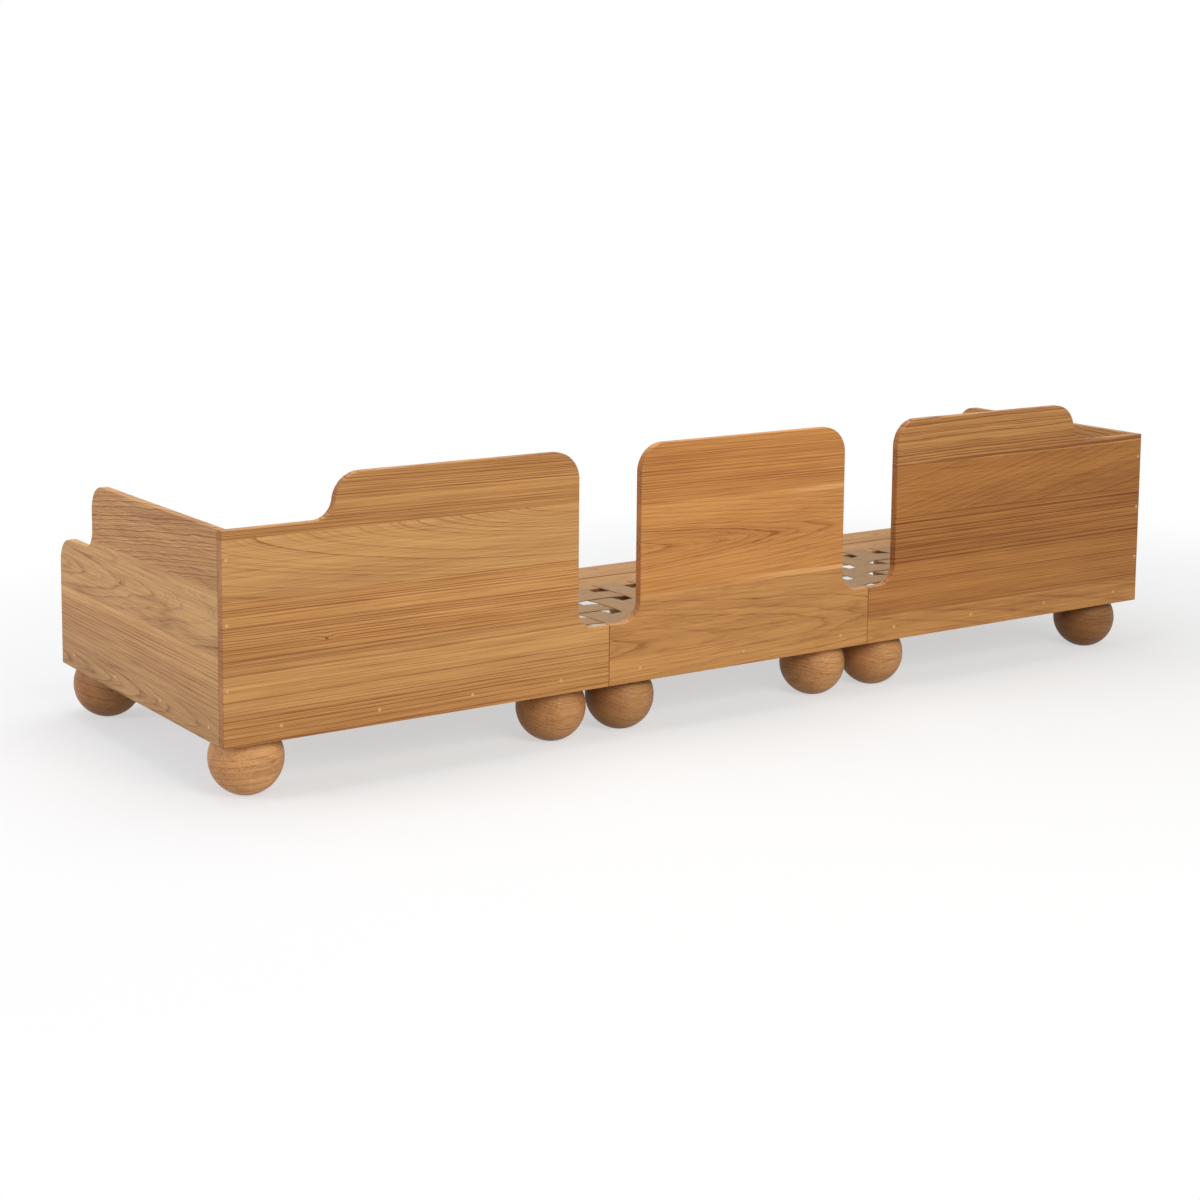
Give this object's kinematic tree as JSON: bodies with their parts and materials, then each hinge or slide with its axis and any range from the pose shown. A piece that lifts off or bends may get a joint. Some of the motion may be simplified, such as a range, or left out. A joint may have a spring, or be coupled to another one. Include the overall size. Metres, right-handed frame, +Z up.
{
  "type": "modular sofa frame",
  "caption": "Low modular sofa frame in solid wood: notched back panels, stepped arm panels, a woven strap seat and turned ball feet; its modules pull apart.",
  "frame": {"origin": "on the floor, under the middle of the frame's length and depth", "axes": "+X along the length towards the sitter's left, -Y towards the front of the seat, +Z up"},
  "size_m": [2.67, 0.91, 0.674],
  "materials": {
    "panel_oak": "oiled, satin",
    "frame_oak": "oiled, satin",
    "turned_oak": "oiled, satin",
    "dowel": "oiled, satin",
    "webbing": "woven, matte",
    "steel": "zinc plated"
  },
  "bodies": {
    "centre_module": {"centre_back_panel": "panel_oak", "centre_corner_blocks": "frame_oak", "centre_dowels": "dowel", "centre_foot_back_left": "turned_oak", "centre_foot_back_right": "turned_oak", "centre_foot_bolts": "steel", "centre_foot_front_left": "turned_oak", "centre_foot_front_right": "turned_oak", "centre_front_ledge": "frame_oak", "centre_rail_back": "frame_oak", "centre_rail_front": "frame_oak", "centre_rail_left": "frame_oak", "centre_rail_right": "frame_oak", "centre_seat_board_back": "frame_oak", "centre_seat_board_front": "frame_oak", "centre_seat_board_left": "frame_oak", "centre_seat_board_right": "frame_oak", "centre_webbing_crosswise": "webbing", "centre_webbing_lengthwise": "webbing"},
    "left_module": {"left_arm_panel": "panel_oak", "left_back_panel": "panel_oak", "left_corner_blocks": "frame_oak", "left_dowels": "dowel", "left_foot_back_inner": "turned_oak", "left_foot_back_outer": "turned_oak", "left_foot_bolts": "steel", "left_foot_front_inner": "turned_oak", "left_foot_front_outer": "turned_oak", "left_front_ledge": "frame_oak", "left_rail_back": "frame_oak", "left_rail_front": "frame_oak", "left_rail_inner": "frame_oak", "left_rail_outer": "frame_oak", "left_seat_board_back": "frame_oak", "left_seat_board_front": "frame_oak", "left_seat_board_inner": "frame_oak", "left_seat_board_outer": "frame_oak", "left_webbing_crosswise": "webbing", "left_webbing_lengthwise": "webbing"},
    "right_module": {"right_arm_panel": "panel_oak", "right_back_panel": "panel_oak", "right_corner_blocks": "frame_oak", "right_dowels": "dowel", "right_foot_back_inner": "turned_oak", "right_foot_back_outer": "turned_oak", "right_foot_bolts": "steel", "right_foot_front_inner": "turned_oak", "right_foot_front_outer": "turned_oak", "right_front_ledge": "frame_oak", "right_rail_back": "frame_oak", "right_rail_front": "frame_oak", "right_rail_inner": "frame_oak", "right_rail_outer": "frame_oak", "right_seat_board_back": "frame_oak", "right_seat_board_front": "frame_oak", "right_seat_board_inner": "frame_oak", "right_seat_board_outer": "frame_oak", "right_webbing_crosswise": "webbing", "right_webbing_lengthwise": "webbing"}
  },
  "joints": [
    {"name": "left_module_slide", "type": "slide", "parent": "centre_module", "child": "left_module", "axis": [1, 0, 0], "range_m": [0, 0.5]},
    {"name": "right_module_slide", "type": "slide", "parent": "centre_module", "child": "right_module", "axis": [-1, 0, 0], "range_m": [0, 0.5]}
  ]
}
